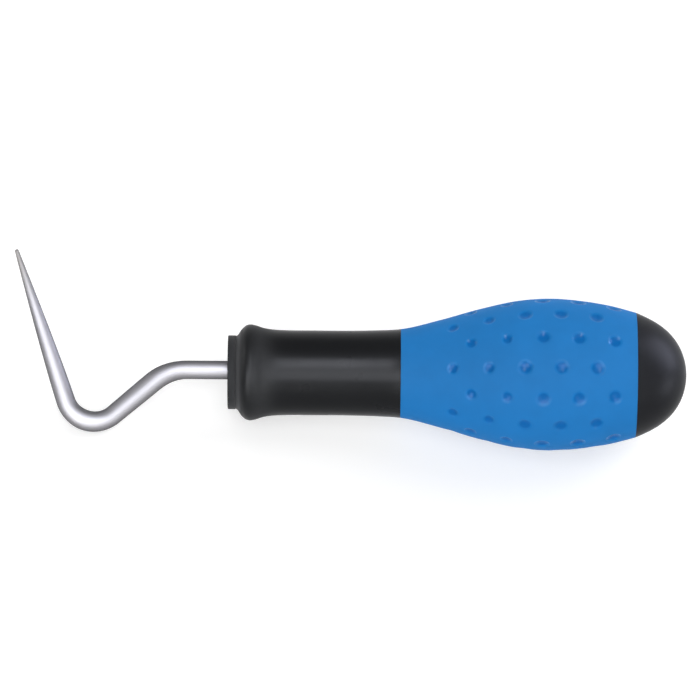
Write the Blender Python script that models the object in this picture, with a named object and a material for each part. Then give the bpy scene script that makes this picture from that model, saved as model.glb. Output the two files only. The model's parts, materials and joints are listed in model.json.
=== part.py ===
"""Hoof pick: a bent and pointed steel bar moulded into a screwdriver-type handle.

Metres, +Z up. Every piece is modelled in the tool's own axes: the handle's axis is X, the nose face
is at x = 0 with the handle on its +X side, the bar leaves it towards -X and bends in the XY plane,
and the point of the hook is on the +Y side. All the pieces are children of one empty, which lays the
tool down as it comes to rest on the ground plane z = 0: on its belly, its finger flange and its hook
bend, with the tip up.
"""

import math

import bmesh
import bpy
import numpy as np
from mathutils import Matrix, Vector

MM = 0.001
CLEARANCE = 0.3 * MM  # between a round piece and the one moulded round it

# Bar: the corners are where the straight runs of its centreline would meet
SHANK_DIAMETER = 4.2 * MM
SHANK_OFFSET = 0.5 * MM  # the bar sits this far off the handle's axis, on the tip's side
SHANK_REACH = 13.9 * MM  # nose face to the first corner
FIRST_BEND_RADIUS = 12.2 * MM
RAMP_ANGLE = math.radians(40.1)
RAMP_LENGTH = 26.2 * MM  # first corner to second corner
HOOK_BEND_RADIUS = 6.9 * MM
BLADE_ANGLE = math.radians(71.5)
BLADE_LENGTH = 46.3 * MM  # second corner to the tip
RAMP_SWELL = 4.65 * MM  # diameter where the first bend ends
RAMP_WAIST = 4.4 * MM  # diameter where the ramp ends
HOOK_SWELL = 4.75 * MM  # diameter in the middle of the hook bend
BLADE_ROOT = 4.3 * MM  # diameter where the blade starts
TIP_DIAMETER = 0.8 * MM
TAPER_POWER = 1.3  # over 1, so the blade keeps its strength near the bend
FIRST_BEND_STEPS = 8
HOOK_BEND_STEPS = 16
BLADE_STEPS = 12
TIP_ROUNDING = np.radians((25, 50, 75))

# Tang: the bar's straight end inside the handle, pinched flat into two wings
TANG_DEPTH = 58 * MM
WING_CENTRES = (0.585 * TANG_DEPTH, 0.825 * TANG_DEPTH)
WING_LENGTH = 9 * MM
WING_EDGE = 0.25  # share of a wing's length that each of its ends takes to go from round to flat
WING_WIDTH = 7.4 * MM
WING_THICKNESS = 2.4 * MM
WING_STEPS = 9

# Handle, along its axis from the nose face
NOSE_RING_LENGTH = 1.8 * MM
NOSE_RING_DIAMETER = 16.95 * MM
NOSE_RING_EDGE = 0.25 * MM
GROOVE_LENGTH = 0.25 * MM  # between the nose ring and the finger flange
GROOVE_DIAMETER = 16.4 * MM
FLANGE_START = NOSE_RING_LENGTH + GROOVE_LENGTH
FLANGE_RADIUS = 11.02 * MM
NECK_START = 10 * MM
NECK_RADIUS = 9.7 * MM
NECK_END = 39.6 * MM
SEAM_RADIUS = 10.2 * MM  # where the neck meets the grip
GRIP_RADIUS = 17.42 * MM
HANDLE_LENGTH = 105.2 * MM
CAP_LENGTH = 11.65 * MM
GRIP_END = HANDLE_LENGTH - CAP_LENGTH

FLANGE_LENGTH = NECK_START - FLANGE_START
NECK_LENGTH = NECK_END - NECK_START
GRIP_LENGTH = GRIP_END - NECK_END

# The end cap's dome: the square of its radius is a cubic of the distance from the handle's end,
# with both lengths as shares of the grip's radius
DOME_ROUNDNESS = 1.6585
DOME_FLATTENING = 1.4441
DOME_FULLNESS = 0.7172

# Radius of the neck and of the grip at stations along the axis, joined by a smooth curve
HANDLE_STATIONS = np.array(
    [
        (FLANGE_START, 0.776 * FLANGE_RADIUS),
        (FLANGE_START + 0.12 * FLANGE_LENGTH, 0.885 * FLANGE_RADIUS),
        (FLANGE_START + 0.245 * FLANGE_LENGTH, 0.971 * FLANGE_RADIUS),
        (FLANGE_START + 0.371 * FLANGE_LENGTH, FLANGE_RADIUS),
        (FLANGE_START + 0.522 * FLANGE_LENGTH, 0.9855 * FLANGE_RADIUS),
        (FLANGE_START + 0.748 * FLANGE_LENGTH, 0.933 * FLANGE_RADIUS),
        (NECK_START, 1.0206 * NECK_RADIUS),
        (NECK_START + 0.1 * NECK_LENGTH, 1.004 * NECK_RADIUS),
        (NECK_START + 0.34 * NECK_LENGTH, NECK_RADIUS),
        (NECK_START + 0.61 * NECK_LENGTH, NECK_RADIUS),
        (NECK_START + 0.81 * NECK_LENGTH, 1.0145 * NECK_RADIUS),
        (NECK_END, SEAM_RADIUS),
        (NECK_END + 0.1687 * GRIP_LENGTH, 0.709 * GRIP_RADIUS),
        (NECK_END + 0.3392 * GRIP_LENGTH, 0.8594 * GRIP_RADIUS),
        (NECK_END + 0.5098 * GRIP_LENGTH, 0.973 * GRIP_RADIUS),
        (NECK_END + 0.6284 * GRIP_LENGTH, GRIP_RADIUS),
        (NECK_END + 0.7674 * GRIP_LENGTH, 0.9719 * GRIP_RADIUS),
        (NECK_END + 0.8971 * GRIP_LENGTH, 0.907 * GRIP_RADIUS),
    ]
)

# Dimples: rows run along the grip, and every second row is half a pitch further on
DIMPLE_ROWS = 14
DIMPLE_ROW_STEP = math.radians(24)  # leaves one plain strip, on the side that faces the ground
DIMPLE_MIDDLE_ROW = math.radians(5.5)  # from +Z towards +Y, as all the rows' angles
DIMPLES_PER_ROW = 5
DIMPLE_START = NECK_END + 0.2206 * GRIP_LENGTH
DIMPLE_PITCH = 0.152 * GRIP_LENGTH
SMALL_DIMPLE = 2.9 * MM
LARGE_DIMPLE = 3.6 * MM
SMALL_PER_ROW = 2  # the first ones of each row, where the grip is slim
DIMPLE_DEPTH = 0.45 * MM
BOWL_RINGS = (0.5, 0.9, 1.35)  # shares of the way to the rim; the last is above the surface

# Core: what the three outer mouldings are keyed to
CORE_NECK_RADIUS = 6.5 * MM
GRIP_WALL = 4.0 * MM
KEY_STARTS = (
    NECK_START + 0.1 * NECK_LENGTH,
    NECK_START + 0.575 * NECK_LENGTH,
    NECK_END + 0.34 * GRIP_LENGTH,
    NECK_END + 0.78 * GRIP_LENGTH,
)
KEY_LENGTH = 3 * MM
KEY_HEIGHT = 1.2 * MM
SPIGOT_RADIUS = 6.0 * MM
SPIGOT_LENGTH = 4.0 * MM
BORE_OVERRUN = 5 * MM  # how far the cutter of the bore stands out of the nose face

TURNED_SIDES = 48
CORE_SIDES = 36
BAR_SIDES = 20
DIMPLE_SIDES = 10
WELD = 0.001 * MM
SHARP_EDGE = math.radians(35)

STEEL = (0.55, 0.55, 0.58)
BLACK_POLYMER = (0.018, 0.019, 0.021)
BLUE_ELASTOMER = (0.022, 0.19, 0.51)


def hermite(stations, x):
    """Radius at x on the smooth curve through the stations, whose slopes come from their neighbours."""
    at, radius = stations[:, 0], stations[:, 1]
    slope = np.gradient(radius, at)
    i = np.clip(np.searchsorted(at, x, side="right") - 1, 0, len(at) - 2)
    span = at[i + 1] - at[i]
    u = (x - at[i]) / span
    return (
        radius[i] * (1 + 2 * u) * (1 - u) ** 2
        + slope[i] * span * u * (1 - u) ** 2
        + radius[i + 1] * u**2 * (3 - 2 * u)
        + slope[i + 1] * span * u**2 * (u - 1)
    )


def dome_radius(x):
    """Radius of the end cap's dome at x."""
    share = np.clip((HANDLE_LENGTH - x) / GRIP_RADIUS, 0, None)
    square = DOME_ROUNDNESS * share - DOME_FLATTENING * share**2 + DOME_FULLNESS * share**3
    return GRIP_RADIUS * np.sqrt(np.clip(square, 0, None))


def handle_radius(x):
    """Outer radius of the neck and the grip at x; the last station is the cap's edge."""
    stations = np.vstack([HANDLE_STATIONS, (GRIP_END, dome_radius(GRIP_END))])
    return hermite(stations, np.asarray(x, float))


def core_radius(x):
    """Radius of the core without its keys: plain in the neck, one wall under the grip's surface."""
    return np.maximum(CORE_NECK_RADIUS, handle_radius(x) - GRIP_WALL)


def core_outline(start, end, steps, clearance=0.0):
    """Points (x, radius) of the keyed core from start to end, or of what is moulded round it."""
    points = [(x, core_radius(x)) for x in np.linspace(start, end, steps)]
    for key in KEY_STARTS:
        first, last = key - clearance, key + KEY_LENGTH + clearance
        if not start < key < end:
            continue
        points = [point for point in points if not first <= point[0] <= last]
        points += [
            (first, core_radius(first)),
            (first, core_radius(first) + KEY_HEIGHT),
            (last, core_radius(last) + KEY_HEIGHT),
            (last, core_radius(last)),
        ]
    # The sort keeps the order of points at the same x, so each key's sides stay upright
    points.sort(key=lambda point: point[0])
    return [(float(x), float(radius) + clearance) for x, radius in points]


def turned(name, outline, sides=TURNED_SIDES):
    """Object made by turning a closed outline of (x, radius) points about the X axis."""
    shape = bmesh.new()
    corners = [shape.verts.new((x, 0, radius)) for x, radius in outline]
    edges = []
    for i, corner in enumerate(corners):
        following = corners[(i + 1) % len(corners)]
        if max(corner.co.z, following.co.z) > 0:
            edges.append(shape.edges.new((corner, following)))
    bmesh.ops.spin(
        shape,
        geom=corners + edges,
        cent=(0, 0, 0),
        axis=(1, 0, 0),
        angle=math.tau,
        steps=sides,
        use_merge=True,
    )
    bmesh.ops.remove_doubles(shape, verts=shape.verts, dist=WELD)
    bmesh.ops.recalc_face_normals(shape, faces=shape.faces)
    return as_object(name, shape)


def as_object(name, shape):
    """New object in the scene from a bmesh, shaded smooth with its edges kept sharp."""
    mesh = bpy.data.meshes.new(name)
    shape.to_mesh(mesh)
    shape.free()
    mesh.shade_smooth()
    mesh.set_sharp_from_angle(angle=SHARP_EDGE)
    piece = bpy.data.objects.new(name, mesh)
    bpy.context.scene.collection.objects.link(piece)
    return piece


def cut(piece, cutter):
    """Take the cutter out of the piece; the cutter stays in the file as a hidden wire guide."""
    cutter.hide_render = True
    cutter.display_type = "WIRE"
    modifier = piece.modifiers.new("cut " + cutter.name, "BOOLEAN")
    modifier.operation = "DIFFERENCE"
    modifier.solver = "EXACT"
    modifier.object = cutter


def paint(piece, colour, roughness, metallic=0.0):
    """Give the piece a material of its own."""
    material = bpy.data.materials.new(piece.name)
    material.use_nodes = True
    shader = material.node_tree.nodes["Principled BSDF"]
    shader.inputs["Base Color"].default_value = (*colour, 1)
    shader.inputs["Roughness"].default_value = roughness
    shader.inputs["Metallic"].default_value = metallic
    piece.data.materials.append(material)


def bar_corners():
    """The centreline's start, its two corners and its tip, in the XY plane."""
    start = Vector((0, SHANK_OFFSET))
    first = Vector((-SHANK_REACH, SHANK_OFFSET))
    second = first - RAMP_LENGTH * Vector((math.cos(RAMP_ANGLE), math.sin(RAMP_ANGLE)))
    tip = second + BLADE_LENGTH * Vector((-math.cos(BLADE_ANGLE), math.sin(BLADE_ANGLE)))
    return start, first, second, tip


def bend(before, corner, after, radius, steps):
    """Points of the arc that rounds a corner, from the run before it to the run after it."""
    into = (corner - before).normalized()
    out = (after - corner).normalized()
    turn = into.angle_signed(out)
    start = corner - into * radius * math.tan(abs(turn) / 2)
    towards = Vector((into.y, -into.x)) * math.copysign(1, turn)
    centre = start + radius * towards
    arm = start - centre
    return [centre + Matrix.Rotation(-turn * i / steps, 2) @ arm for i in range(steps + 1)]


def eased(x, knots, values):
    """Values at x that ease from each knot to the next, flat at the knots."""
    i = np.clip(np.searchsorted(knots, x, side="right") - 1, 0, len(knots) - 2)
    u = np.clip((x - knots[i]) / (knots[i + 1] - knots[i]), 0, 1)
    values = np.array(values)
    return values[i] + (values[i + 1] - values[i]) * u * u * (3 - 2 * u)


def bar_stations():
    """Centres and diameters of the bar from its first bend to the start of its round tip."""
    start, first, second, tip = bar_corners()
    first_bend = bend(start, first, second, FIRST_BEND_RADIUS, FIRST_BEND_STEPS)
    hook_bend = bend(first, second, tip, HOOK_BEND_RADIUS, HOOK_BEND_STEPS)
    blade = [hook_bend[-1].lerp(tip, i / BLADE_STEPS) for i in range(1, BLADE_STEPS + 1)]
    centres = np.array([*first_bend, *hook_bend, *blade])
    along = np.append(0, np.cumsum(np.linalg.norm(np.diff(centres, axis=0), axis=1)))
    ramp_end = len(first_bend)
    hook_middle = ramp_end + len(hook_bend) // 2
    blade_start = ramp_end + len(hook_bend) - 1
    knots = along[[0, ramp_end - 1, ramp_end, hook_middle, blade_start]]
    sizes = (SHANK_DIAMETER, RAMP_SWELL, RAMP_WAIST, HOOK_SWELL, BLADE_ROOT)
    diameters = eased(along, knots, sizes)
    taper = np.clip((along - along[blade_start]) / (along[-1] - along[blade_start]), 0, 1)
    diameters -= (BLADE_ROOT - TIP_DIAMETER) * taper**TAPER_POWER
    return centres, diameters


def pinch(x):
    """How flat the tang is at x: 0 where it is round, 1 in the middle of a wing."""
    from_centre = np.min([abs(x - centre) for centre in WING_CENTRES], axis=0)
    u = np.clip((0.5 - from_centre / WING_LENGTH) / WING_EDGE, 0, 1)
    return u * u * (3 - 2 * u)


def swept(name, centres, widths, thicknesses):
    """Object with an elliptic section of these widths, in the XY plane, and thicknesses along Z."""
    centres = np.column_stack([centres, np.zeros(len(centres))])
    heading = np.gradient(centres, axis=0)
    heading /= np.linalg.norm(heading, axis=1)[:, None]
    sideways = np.cross((0, 0, 1), heading)
    turn = np.linspace(0, math.tau, BAR_SIDES, endpoint=False)
    across = widths[:, None, None] / 2 * np.cos(turn)[:, None] * sideways[:, None]
    upward = thicknesses[:, None, None] / 2 * np.sin(turn)[:, None] * np.array((0, 0, 1))
    rings = centres[:, None] + across + upward
    shape = bmesh.new()
    loops = [[shape.verts.new(point) for point in ring] for ring in rings]
    for ring, following in zip(loops, loops[1:]):
        for i in range(BAR_SIDES):
            j = (i + 1) % BAR_SIDES
            shape.faces.new((ring[i], ring[j], following[j], following[i]))
    shape.faces.new(loops[0])
    shape.faces.new(loops[-1])
    bmesh.ops.recalc_face_normals(shape, faces=shape.faces)
    return as_object(name, shape)


def tang_stations(front):
    """Tang centres from its end to the given front x, with its widths and thicknesses."""
    wings = [centre + WING_LENGTH * np.linspace(-0.5, 0.5, WING_STEPS) for centre in WING_CENTRES]
    x = np.sort(np.concatenate([(TANG_DEPTH, front), *wings]))[::-1]
    flat = pinch(x)
    centres = np.column_stack([x, np.full(len(x), SHANK_OFFSET)])
    widths = SHANK_DIAMETER + (WING_WIDTH - SHANK_DIAMETER) * flat
    thicknesses = SHANK_DIAMETER + (WING_THICKNESS - SHANK_DIAMETER) * flat
    return centres, widths, thicknesses


def make_rod():
    """The steel bar from the end of its tang to the rounded tip."""
    tang, widths, thicknesses = tang_stations(0.0)
    hook, diameters = bar_stations()
    heading = (hook[-1] - hook[-2]) / np.linalg.norm(hook[-1] - hook[-2])
    tip = hook[-1] + TIP_DIAMETER / 2 * np.sin(TIP_ROUNDING)[:, None] * heading
    tip_diameters = TIP_DIAMETER * np.cos(TIP_ROUNDING)
    piece = swept(
        "pick_rod",
        np.vstack([tang, hook, tip]),
        np.concatenate([widths, diameters, tip_diameters]),
        np.concatenate([thicknesses, diameters, tip_diameters]),
    )
    paint(piece, STEEL, 0.25, 1.0)
    return piece


def make_core():
    """The hard core, with the nose ring in front, the keys, the spigot and the bore of the tang."""
    ring = NOSE_RING_DIAMETER / 2
    outline = [
        (0, 0),
        (0, ring - NOSE_RING_EDGE),
        (NOSE_RING_EDGE, ring),
        (NOSE_RING_LENGTH - NOSE_RING_EDGE, ring),
        (NOSE_RING_LENGTH, ring - NOSE_RING_EDGE),
        *core_outline(NOSE_RING_LENGTH, GRIP_END, 16),
        (GRIP_END, SPIGOT_RADIUS),
        (GRIP_END + SPIGOT_LENGTH, SPIGOT_RADIUS),
        (GRIP_END + SPIGOT_LENGTH, 0),
    ]
    piece = turned("handle_core", outline, CORE_SIDES)
    centres, widths, thicknesses = tang_stations(-BORE_OVERRUN)
    bore = swept("tang_bore", centres, widths + 2 * CLEARANCE, thicknesses + 2 * CLEARANCE)
    cut(piece, bore)
    paint(piece, BLACK_POLYMER, 0.45)
    return piece, bore


def make_neck():
    """The black neck moulding, with the groove and the finger flange at its front."""
    flange = np.linspace(FLANGE_START, NECK_START, 11)
    waist = np.linspace(NECK_START, NECK_END, 8)[1:]
    outer = [(x, handle_radius(x)) for x in (*flange, *waist)]
    inner = core_outline(NOSE_RING_LENGTH, NECK_END, 2, CLEARANCE)
    groove = [(NOSE_RING_LENGTH, GROOVE_DIAMETER / 2), (FLANGE_START, GROOVE_DIAMETER / 2)]
    piece = turned("neck_sleeve", [*groove, *outer, *reversed(inner)])
    paint(piece, BLACK_POLYMER, 0.5)
    return piece


def make_grip():
    """The blue grip, with its dimples."""
    outer = [(x, handle_radius(x)) for x in np.linspace(NECK_END, GRIP_END, 18)]
    inner = core_outline(NECK_END, GRIP_END, 8, CLEARANCE)
    piece = turned("soft_grip", [*outer, *reversed(inner)])
    cutter = make_dimples()
    cut(piece, cutter)
    paint(piece, BLUE_ELASTOMER, 0.55)
    return piece, cutter


def make_dimples():
    """One cutter for all the dimples: shallow bowls that stand in the grip's surface."""
    cutter = bmesh.new()
    for row in range(-DIMPLE_ROWS // 2, DIMPLE_ROWS // 2):
        angle = DIMPLE_MIDDLE_ROW + row * DIMPLE_ROW_STEP
        for i in range(DIMPLES_PER_ROW):
            x = DIMPLE_START + (i + row % 2 / 2) * DIMPLE_PITCH
            width = SMALL_DIMPLE if i < SMALL_PER_ROW else LARGE_DIMPLE
            add_bowl(cutter, x, angle, width)
    bmesh.ops.recalc_face_normals(cutter, faces=cutter.faces)
    return as_object("dimple_cutter", cutter)


def add_bowl(cutter, x, angle, width):
    """Add one bowl, a part of a sphere that reaches DIMPLE_DEPTH below the surface at x and angle."""
    sphere = (width**2 / 4 + DIMPLE_DEPTH**2) / (2 * DIMPLE_DEPTH)
    rim = math.asin(width / 2 / sphere)
    step = 0.1 * MM
    slope = math.atan2(float(handle_radius(x + step) - handle_radius(x - step)), 2 * step)
    place = (
        Matrix.Rotation(-angle, 4, "X")
        @ Matrix.Translation((x, 0, float(handle_radius(x))))
        @ Matrix.Rotation(-slope, 4, "Y")
    )
    rings = []
    for part in BOWL_RINGS:
        polar = rim * part
        height = sphere * (1 - math.cos(polar)) - DIMPLE_DEPTH
        reach = sphere * math.sin(polar)
        turns = [math.tau * k / DIMPLE_SIDES for k in range(DIMPLE_SIDES)]
        ring = [(reach * math.cos(turn), reach * math.sin(turn), height) for turn in turns]
        rings.append([cutter.verts.new(place @ Vector(point)) for point in ring])
    bottom = cutter.verts.new(place @ Vector((0, 0, -DIMPLE_DEPTH)))
    for k in range(DIMPLE_SIDES):
        following = (k + 1) % DIMPLE_SIDES
        cutter.faces.new((bottom, rings[0][k], rings[0][following]))
        for low, high in zip(rings, rings[1:]):
            cutter.faces.new((low[k], high[k], high[following], low[following]))
    cutter.faces.new(rings[-1])


def make_cap():
    """The domed end, with the socket that takes the core's spigot."""
    socket = SPIGOT_RADIUS + CLEARANCE
    socket_end = GRIP_END + SPIGOT_LENGTH + CLEARANCE
    x = HANDLE_LENGTH - CAP_LENGTH * np.linspace(1, 0, 11)[:-1] ** 2
    dome = list(zip(x, dome_radius(x)))
    outline = [*dome, (HANDLE_LENGTH, 0), (socket_end, 0), (socket_end, socket), (GRIP_END, socket)]
    piece = turned("end_cap", outline)
    paint(piece, BLACK_POLYMER, 0.35)
    return piece


def lowest_of_rings(x, radius, down):
    """The point of a round form, given as its rings, that is furthest along the direction down."""
    sideways = np.hypot(down[1], down[2])
    i = np.argmax(x * down[0] + radius * sideways)
    return np.array((x[i], radius[i] * down[1] / sideways, radius[i] * down[2] / sideways))


def resting_normal():
    """Unit normal, in the tool's axes, of the plane that touches belly, finger flange and hook bend.

    The bend is heavier than the blade, so the tool rolls until the bend is down and the tip is up.
    """
    flange = np.linspace(FLANGE_START, NECK_START, 400)
    belly = np.linspace(NECK_END, GRIP_END, 400)
    hook, diameters = bar_stations()
    hook = np.column_stack([hook, np.zeros(len(hook))])
    normal = np.array((0.0, 0.0, 1.0))
    for _ in range(20):
        down = -normal
        on_flange = lowest_of_rings(flange, handle_radius(flange), down)
        on_belly = lowest_of_rings(belly, handle_radius(belly), down)
        i = np.argmax(hook @ down + diameters / 2)
        on_bend = hook[i] + diameters[i] / 2 * down
        normal = np.cross(on_bend - on_belly, on_flange - on_belly)
        normal *= math.copysign(1, normal[2]) / np.linalg.norm(normal)
    return Vector(normal)


def lay_down(pieces, guides):
    """Parent everything to an empty that lays the tool on z = 0, centred under its box."""
    axes = bpy.data.objects.new("tool_axes", None)
    bpy.context.scene.collection.objects.link(axes)
    for piece in (*pieces, *guides):
        piece.parent = axes
    up = resting_normal()
    forward = Vector((1, 0, 0)) - up.x * up
    forward.normalize()
    turn = Matrix((forward, up.cross(forward), up))
    corners = np.concatenate([[turn @ vertex.co for vertex in piece.data.vertices] for piece in pieces])
    low, high = corners.min(axis=0), corners.max(axis=0)
    centre = (low + high) / 2
    axes.rotation_euler = turn.to_euler()
    axes.location = (-centre[0], -centre[1], -low[2])


def main():
    for leftover in list(bpy.data.objects):
        bpy.data.objects.remove(leftover)
    rod = make_rod()
    core, bore = make_core()
    neck = make_neck()
    grip, dimples = make_grip()
    cap = make_cap()
    lay_down((rod, core, neck, grip, cap), (bore, dimples))


main()
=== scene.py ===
"""Looks of the hoof pick: a satin steel hook in a black and blue screwdriver-type handle.

Every piece is a surface worked out with numpy in the tool's own axes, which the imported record's one
mount gives, and then laid where the CAD model lies. The studio is a pale cove with soft lights.
"""

import json
import logging
import math
from dataclasses import dataclass, field
from enum import Enum

import bpy
import numpy as np
from mathutils import Matrix


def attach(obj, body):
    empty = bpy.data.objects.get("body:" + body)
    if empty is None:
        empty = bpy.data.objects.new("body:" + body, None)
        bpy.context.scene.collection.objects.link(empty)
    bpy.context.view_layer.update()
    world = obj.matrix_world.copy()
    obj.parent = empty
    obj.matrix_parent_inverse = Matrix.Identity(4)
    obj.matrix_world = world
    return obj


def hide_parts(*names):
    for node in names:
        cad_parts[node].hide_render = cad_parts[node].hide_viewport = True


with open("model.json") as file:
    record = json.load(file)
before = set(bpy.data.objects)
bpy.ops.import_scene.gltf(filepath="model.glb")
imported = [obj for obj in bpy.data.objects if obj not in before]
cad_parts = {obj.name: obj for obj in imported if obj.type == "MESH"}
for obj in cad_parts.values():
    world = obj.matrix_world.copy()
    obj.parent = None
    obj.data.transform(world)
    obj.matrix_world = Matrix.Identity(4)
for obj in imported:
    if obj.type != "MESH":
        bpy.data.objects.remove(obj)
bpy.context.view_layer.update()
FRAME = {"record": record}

LOG = logging.getLogger("hoof_pick")
MM = 0.001

SURFACE_MAP = "surface"
MARK = "mark"
NOISE_SPAN = (0.3, 0.7)

Pair = tuple[float, float]
Tree = bpy.types.NodeTree
Socket = bpy.types.NodeSocket

# How the tool has rolled about its handle as it lies, and where its mount is on the nose face.
ROLL = math.radians(26.7005)
MOUNT_OFFSET = -5.4 * MM


class Ends(Enum):
    """How the two ends of a row of rings are closed."""

    POLES = "the first and the last ring are single points"
    LOOP = "the last ring joins the first"


class Role(Enum):
    """What a studio light is for, as which of its rays count: (diffuse, glossy)."""

    FILL = (True, False)
    SHINE = (False, True)


class Body(Enum):
    """Bodies of the mechanism; the tool is one rigid body."""

    TOOL = "root"


def linear(code: str) -> tuple[float, float, float, float]:
    """Turn an sRGB hex colour into linear light.

    Args:
        code: Colour such as "#2878BD".

    Returns:
        Red, green, blue and an alpha of 1.
    """
    share = np.array([int(code[i : i + 2], 16) for i in (1, 3, 5)]) / 255
    light = np.where(share <= 0.04045, share / 12.92, ((share + 0.055) / 1.055) ** 2.4)
    return (*light.tolist(), 1.0)


def add_node(
    tree: bpy.types.NodeTree, kind: str, settings: dict | None = None, links: dict | None = None
) -> bpy.types.Node:
    """Add a node with its settings and its incoming links.

    Args:
        tree: Node tree to add to.
        kind: Type name of the node.
        settings: Values by input name, input number or property name.
        links: Output sockets by the name or number of the input that they feed.

    Returns:
        The new node.
    """
    node = tree.nodes.new(kind)
    for name, value in (settings or {}).items():
        if isinstance(name, int) or name in node.inputs:
            node.inputs[name].default_value = value
        else:
            setattr(node, name, value)
    for name, output in (links or {}).items():
        tree.links.new(output, node.inputs[name])
    return node


def blank_material(name: str) -> tuple[bpy.types.Material, bpy.types.NodeTree]:
    """Make an empty material.

    Args:
        name: Name of the material.

    Returns:
        The material and its node tree, which holds no nodes.
    """
    material = bpy.data.materials.new(name)
    material.use_nodes = True
    material.node_tree.nodes.clear()
    return material, material.node_tree


# ---------------------------------------------------------------- surfaces


def smooth_step(share: np.ndarray) -> np.ndarray:
    """Ease from 0 to 1, flat at both ends: 3 s^2 - 2 s^3, with s held between 0 and 1."""
    share = np.clip(share, 0.0, 1.0)
    return share * share * (3 - 2 * share)


def curve_through(stations: np.ndarray, x: np.ndarray) -> np.ndarray:
    """Work out the smooth curve through the stations.

    It is a cubic Hermite curve from station to station, with the slope at each one taken from its
    neighbours.

    Args:
        stations: Rows of (place, value), in order of place.
        x: Places to work the curve out at.

    Returns:
        The curve's value at each x.
    """
    at, value = stations[:, 0], stations[:, 1]
    slope = np.gradient(value, at)
    i = np.clip(np.searchsorted(at, x, side="right") - 1, 0, len(at) - 2)
    span = at[i + 1] - at[i]
    u = (x - at[i]) / span
    return (
        value[i] * (1 + 2 * u) * (1 - u) ** 2
        + slope[i] * span * u * (1 - u) ** 2
        + value[i + 1] * u**2 * (3 - 2 * u)
        + slope[i + 1] * span * u**2 * (u - 1)
    )


def rounded(outline: np.ndarray, radii: np.ndarray, steps: int = 5) -> np.ndarray:
    """Round some corners of an open outline.

    A corner c with a radius r becomes the curve (1 - t)^2 a + 2 t (1 - t) c + t^2 b, where a and b
    lie on the two edges at r from c. One more point on each side, at 1.5 r, keeps the flats flat.

    Args:
        outline: Corners (x, radius) in order.
        radii: Rounding of each corner; 0 leaves it as it is. The two ends are always left.
        steps: Number of points on each rounding.

    Returns:
        The points of the rounded outline.
    """
    before = np.roll(outline, 1, axis=0) - outline
    after = np.roll(outline, -1, axis=0) - outline
    before /= np.maximum(np.linalg.norm(before, axis=1), 1e-12)[:, None]
    after /= np.maximum(np.linalg.norm(after, axis=1), 1e-12)[:, None]
    t = np.linspace(0, 1, steps)
    share_before = np.concatenate([[1.5], (1 - t) ** 2, [0.0]])
    share_after = np.concatenate([[0.0], t**2, [1.5]])
    points = (
        outline[:, None]
        + radii[:, None, None] * share_before[:, None] * before[:, None]
        + radii[:, None, None] * share_after[:, None] * after[:, None]
    )
    kept = np.ones(points.shape[:2], bool)
    kept[(radii == 0) | (np.arange(len(outline)) % (len(outline) - 1) == 0), 1:] = False
    points[0], points[-1] = outline[0], outline[-1]
    return points[kept]


def turned_rings(outline: np.ndarray, sides: int) -> np.ndarray:
    """Turn an outline about the X axis.

    The point of a corner (x, r) at the angle a from +Z towards +Y is (x, r sin a, r cos a).

    Args:
        outline: Points (x, radius).
        sides: Number of points round each ring.

    Returns:
        Rings by sides by 3 coordinates.
    """
    angle = np.linspace(0, math.tau, sides, endpoint=False)
    x, radius = outline[:, :1], outline[:, 1:]
    return np.stack([x + 0 * angle, radius * np.sin(angle), radius * np.cos(angle)], axis=-1)


def quad_grid(rings: int, sides: int, ends: Ends) -> tuple[list, np.ndarray]:
    """List the faces of a row of rings and where each face corner lies on the grid.

    Args:
        rings: Number of rings.
        sides: Number of points round each ring.
        ends: How the row of rings is closed.

    Returns:
        The faces' vertex numbers, and for each face corner its (ring, side) place, in which the
        side runs on to the number of sides instead of going back to 0.
    """
    first = 1 if ends is Ends.POLES else 0
    bands = rings - 3 if ends is Ends.POLES else rings
    i, j = np.meshgrid(np.arange(bands), np.arange(sides), indexing="ij")
    ring = np.stack([i, i + 1, i + 1, i], axis=-1).reshape(-1, 4)
    side = np.stack([j, j, j + 1, j + 1], axis=-1).reshape(-1, 4)
    inner = rings - 2 if ends is Ends.POLES else rings
    quads = first + (ring % inner) * sides + side % sides
    faces, places = quads.tolist(), [np.stack([ring + first, side], axis=-1).reshape(-1, 2)]
    if ends is Ends.POLES:
        j = np.arange(sides)
        following = (j + 1) % sides
        last = 1 + (inner - 1) * sides
        front = np.stack([0 * j, 1 + j, 1 + following], axis=-1)
        back = np.stack([0 * j + last + sides, last + following, last + j], axis=-1)
        faces += front.tolist() + back.tolist()
        front_place = np.stack([[0 * j, j], [0 * j + 1, j], [0 * j + 1, j + 1]], axis=0)
        back_place = np.stack(
            [[0 * j + rings - 1, j], [0 * j + rings - 2, j + 1], [0 * j + rings - 2, j]], axis=0
        )
        places += [front_place.transpose(2, 0, 1).reshape(-1, 2)]
        places += [back_place.transpose(2, 0, 1).reshape(-1, 2)]
    return faces, np.concatenate(places)


def outward(points: np.ndarray) -> bool:
    """Tell whether rings taken in order, with the side running on, give faces that point outwards.

    The sign is that of the volume, the sum over the grid's cells of p . (dp/di x dp/dj) / 3.

    Args:
        points: Rings by sides by 3 coordinates.

    Returns:
        True if the faces point outwards.
    """
    along = np.roll(points, -1, axis=0) - points
    around = np.roll(points, -1, axis=1) - points
    return float(np.einsum("ijk,ijk->", points, np.cross(along, around))) > 0


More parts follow.
